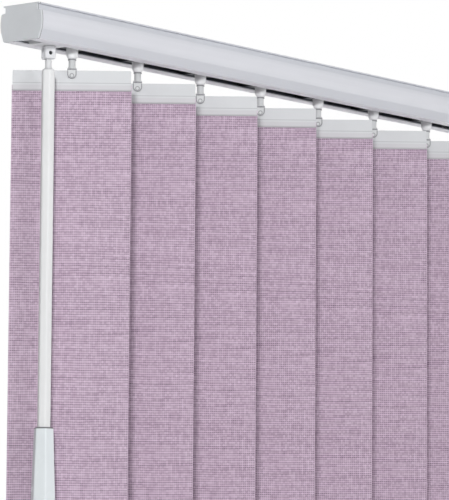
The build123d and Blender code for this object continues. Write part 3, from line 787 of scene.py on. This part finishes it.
class BLIND_OT_fittings(Operator):
    """Mould the caps, carriers, truck, yoke and gears"""

    bl_idname = "blind.fittings"
    bl_label = "Caps, Carriers and Gears"

    def execute(self, context):
        settings = context.scene.blind_fittings
        upright = (1, 1, 0.05)
        dress(moulded("End cap plastic", settings.cap, roughness=0.42, grain=1300.0), *like("end_cap"))
        dress(moulded("Truck plastic", settings.carrier, roughness=0.4, grain=1700.0), "wand_truck")
        yoke = moulded("Yoke plastic", settings.yoke, roughness=0.5, grain=1700.0, specular=0.3)
        dress(yoke, "wand_yoke")
        dress(carrier_plastic(settings), *like("carrier"))
        gear = moulded("Gear plastic", settings.gear, roughness=0.35, grain=2200.0, mottle=0.03)
        dress(gear, *like("worm"), "rod_gear")
        dress(drawn_metal("Spacer steel", settings.steel, roughness=0.34), *like("spacer"))
        dress(drawn_metal("Pin steel", settings.pin, roughness=0.5, along=upright), "yoke_pin")
        dress(drawn_metal("Weight steel", settings.steel, roughness=0.5, along=upright), *like("weight"))
        return {"FINISHED"}


class BLIND_OT_hooks(Operator):
    """Mould the milky hook stems and the hanger plates"""

    bl_idname = "blind.hooks"
    bl_label = "Hooks and Hanger Plates"

    def execute(self, context):
        settings = context.scene.blind_fittings
        dress(hook_plastic(settings, context.scene.blind_fabric.turn), *like("stem"))
        dress(hanger_plastic(settings), *like("hanger"))
        return {"FINISHED"}


class BLIND_OT_wand(Operator):
    """Mould the faceted wand, its neck and its grip"""

    bl_idname = "blind.wand"
    bl_label = "Wand and Grip"

    def execute(self, context):
        settings = context.scene.blind_fittings
        tube = moulded("Wand plastic", settings.wand, roughness=0.32, grain=700.0, mottle=0.03, specular=0.1)
        dress(tube, "wand_tube")
        neck = moulded("Neck plastic", settings.neck, roughness=0.4, grain=900.0, mottle=0.03, specular=0.2)
        dress(neck, "wand_eye")
        dress(grip_plastic(settings), "wand_grip")
        return {"FINISHED"}


class BLIND_OT_slats(Operator):
    """Hang a woven slat from every hanger plate, folded round its weight"""

    bl_idname = "blind.slats"
    bl_label = "Woven Slats"

    def execute(self, context):
        settings = context.scene.blind_fabric
        tree = slat_tree()
        cloth = weave_cloth(settings)
        for seed, vane in enumerate(VANES, 1):
            piece = grown(f"fabric_{seed}", tree, {
                "Width": settings.width, "Top": SLAT_TOP, "Foot": SLAT_FOOT, "Thickness": settings.thickness,
                "Hem Height": settings.hem_height, "Hem Taper": settings.hem_taper,
                "Hem Overlap": settings.hem_overlap, "Pocket": settings.pocket, "Ripple": settings.ripple,
                "Held": settings.held, "Freed": settings.freed, "Seed": seed, "Columns": COLUMNS,
                "Flat Rows": FLAT_ROWS, "Hem Rows": HEM_ROWS, "Turn": settings.turn,
                "Place": middle_of(vane), "Material": cloth,
            }, settings.thickness)
            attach(piece, vane)
            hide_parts(f"slat_{seed}")
        return {"FINISHED"}


class BLIND_OT_stitches(Operator):
    """Sew the hem of every slat"""

    bl_idname = "blind.stitches"
    bl_label = "Hem Stitches"

    def execute(self, context):
        settings = context.scene.blind_fabric
        tree = stitch_tree()
        thread, nodes, shader = fresh_material("Hem thread", {"Roughness": 0.75, "Sheen Weight": 0.2})
        twist = noise(nodes, place_of(nodes), scale=2600.0, stretch=(1, 1, 0.5))
        tint = blended(nodes, spread(nodes, twist, 0, 1, *MIDDLE), settings.deep_yarn, settings.pale_yarn)
        feed(nodes, shader.inputs["Base Color"], tint)
        raised(nodes, shader, twist, distance=0.00008)
        height = SLAT_FOOT + settings.hem_height + settings.hem_overlap / 2
        for number, vane in enumerate(VANES, 1):
            place = Vector(middle_of(vane)) + Vector((0, 0, height))
            piece = grown(f"stitches_{number}", tree, {
                "Width": settings.width, "Pitch": settings.stitch_pitch, "Length": settings.stitch_length,
                "Thread Radius": settings.thread_radius, "Arch": settings.thread_arch,
                "Front": -settings.thickness / 2, "Back": settings.thickness * 1.5,
                "Turn": settings.turn, "Place": tuple(place), "Material": thread,
            })
            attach(piece, vane)
        return {"FINISHED"}


def lamp(name, heading, rise, distance, size, amount):
    """Round soft lamp that gives a facing white surface a set level, aimed at the blind's upper part."""
    aim = Vector((cad_box[0][0] + cad_box[1][0], cad_box[0][1] + cad_box[1][1], cad_box[0][2] / 2)) / 2
    back = Vector((-cos(heading) * cos(rise), -sin(heading) * cos(rise), sin(rise)))
    light = bpy.data.lights.new(name, "AREA")
    light.shape = "DISK"
    light.size = size
    light.energy = amount * pi ** 2 * distance ** 2
    holder = bpy.data.objects.new(name, light)
    bpy.context.scene.collection.objects.link(holder)
    holder.location = aim + back * distance
    holder.rotation_mode = "QUATERNION"
    holder.rotation_quaternion = (-back).to_track_quat("-Z", "Y")


class BLIND_OT_stage(Operator):
    """Lay the floor, light the blind and set up the camera"""

    bl_idname = "blind.stage"
    bl_label = "Stage"

    def execute(self, context):
        scene = context.scene
        settings = scene.blind_stage
        scene.view_settings.view_transform = "Standard"
        self.lay_floor(scene, settings)
        away = settings.lamp_distance
        lamp("Key lamp", settings.heading - settings.key_offset, settings.key_rise, away,
             settings.key_size, settings.key_level)
        lamp("Side lamp", settings.side_heading, settings.key_rise, away,
             settings.side_size, settings.side_level)
        lamp("Fill lamp", pi - settings.heading, settings.fill_rise, away,
             settings.fill_size, settings.fill_level)
        lamp("Back lamp", settings.heading + pi, settings.back_rise, away,
             settings.back_size, settings.back_level)
        lamp("Top lamp", 0.0, pi / 2, away, settings.top_size, settings.top_level)
        self.light_sky(scene, settings)
        self.place_camera(scene, settings)
        return {"FINISHED"}

    def lay_floor(self, scene, settings):
        """Wide pale floor under the hanging slats, whose far part the camera sees evenly pale."""
        height = cad_box[0][2] - settings.floor_drop
        mesh = bpy.data.meshes.new("Floor")
        sides = ((-1, -1), (1, -1), (1, 1), (-1, 1))
        corners = [(x * settings.floor_reach, y * settings.floor_reach, height) for x, y in sides]
        mesh.from_pydata(corners, [], [(0, 1, 2, 3)])
        floor = bpy.data.objects.new("Floor", mesh)
        scene.collection.objects.link(floor)
        material, tree, shader = fresh_material("Pale floor", {"Roughness": 0.85, "Specular IOR Level": 0.2})
        at = place_of(tree)
        pale = settings.floor_colour
        cloud = drift(tree, at, 0, 1, scale=1.5, detail=3.0)
        feed(tree, shader.inputs["Base Color"], blended(tree, cloud, dimmed(pale, 0.98), pale))
        seen = node(tree, "ShaderNodeLightPath").outputs["Is Camera Ray"]
        far = spread(tree, reach(tree, at), 0, 1, settings.floor_fade, settings.floor_even)
        far = calc(tree, "MULTIPLY", seen, far)
        glow = node(tree, "ShaderNodeEmission", {"Color": (*pale, 1), "Strength": settings.floor_glow})
        both = node(tree, "ShaderNodeMixShader", {0: far, 1: shader.outputs[0], 2: glow.outputs[0]})
        tree.links.new(both.outputs[0], tree.nodes["Material Output"].inputs["Surface"])
        mesh.materials.append(material)

    def light_sky(self, scene, settings):
        """Soft light from all round, which is white where the camera or a reflection sees it."""
        world = bpy.data.worlds.new("Studio")
        world.use_nodes = True
        scene.world = world
        tree = world.node_tree
        path = node(tree, "ShaderNodeLightPath").outputs
        seen = calc(tree, "MAXIMUM", path["Is Camera Ray"], path["Is Glossy Ray"])
        seen = calc(tree, "MAXIMUM", seen, path["Is Transmission Ray"])
        background = tree.nodes["Background"]
        background.inputs["Color"].default_value = (1, 1, 1, 1)
        side = node(tree, "ShaderNodeTexCoord").outputs["Generated"]
        leant = node(tree, "ShaderNodeVectorMath", {
            0: side, 1: tuple(settings.sky_lean),
        }, operation="DOT_PRODUCT").outputs["Value"]
        leant = calc(tree, "MAXIMUM", calc(tree, "ADD", leant, 1.0), 0.0)
        soft = calc(tree, "MULTIPLY", leant, settings.sky_level)
        feed(tree, background.inputs["Strength"], spread(tree, seen, soft, 1.0))

    def place_camera(self, scene, settings):
        """Camera at the picture's viewing angle."""
        look = Vector((
            cos(settings.heading) * cos(settings.pitch),
            sin(settings.heading) * cos(settings.pitch),
            sin(settings.pitch),
        ))
        level_right = Vector((sin(settings.heading), -cos(settings.heading), 0))
        level_up = level_right.cross(look)
        right = level_right * cos(settings.roll) + level_up * sin(settings.roll)
        up = level_up * cos(settings.roll) - level_right * sin(settings.roll)
        lens = bpy.data.cameras.new("Camera")
        lens.lens = settings.lens
        lens.clip_end = 100.0
        camera = bpy.data.objects.new("Camera", lens)
        scene.collection.objects.link(camera)
        camera.rotation_mode = "QUATERNION"
        camera.rotation_quaternion = Matrix((right, up, -look)).transposed().to_quaternion()
        camera.location = settings.place
        scene.camera = camera


class BLIND_PT_pieces(Panel):
    """Pieces of the vertical blind, in the order they are made"""

    bl_label = "Vertical Blind"
    bl_idname = "BLIND_PT_pieces"
    bl_space_type = "VIEW_3D"
    bl_region_type = "UI"
    bl_category = "Vertical Blind"

    def draw(self, context):
        for operator in OPERATORS:
            self.layout.operator(operator.bl_idname)
        for group in ("blind_fabric", "blind_fittings", "blind_stage"):
            settings = getattr(context.scene, group)
            box = self.layout.box()
            for name in settings.__annotations__:
                box.prop(settings, name)


OPERATORS = (
    BLIND_OT_rail,
    BLIND_OT_fittings,
    BLIND_OT_hooks,
    BLIND_OT_wand,
    BLIND_OT_stitches,
    BLIND_OT_slats,
    BLIND_OT_stage,
)
GROUPS = {"blind_fabric": FabricSettings, "blind_fittings": FittingSettings, "blind_stage": StageSettings}


def register():
    for kind in (*GROUPS.values(), *OPERATORS, BLIND_PT_pieces):
        bpy.utils.register_class(kind)
    for name, group in GROUPS.items():
        setattr(bpy.types.Scene, name, PointerProperty(type=group))


def unregister():
    for name in GROUPS:
        delattr(bpy.types.Scene, name)
    for kind in reversed((*GROUPS.values(), *OPERATORS, BLIND_PT_pieces)):
        bpy.utils.unregister_class(kind)


def main():
    """Makes every piece in order."""
    register()
    for operator in OPERATORS:
        family, name = operator.bl_idname.split(".")
        getattr(getattr(bpy.ops, family), name)()


if __name__ == "__main__":
    main()
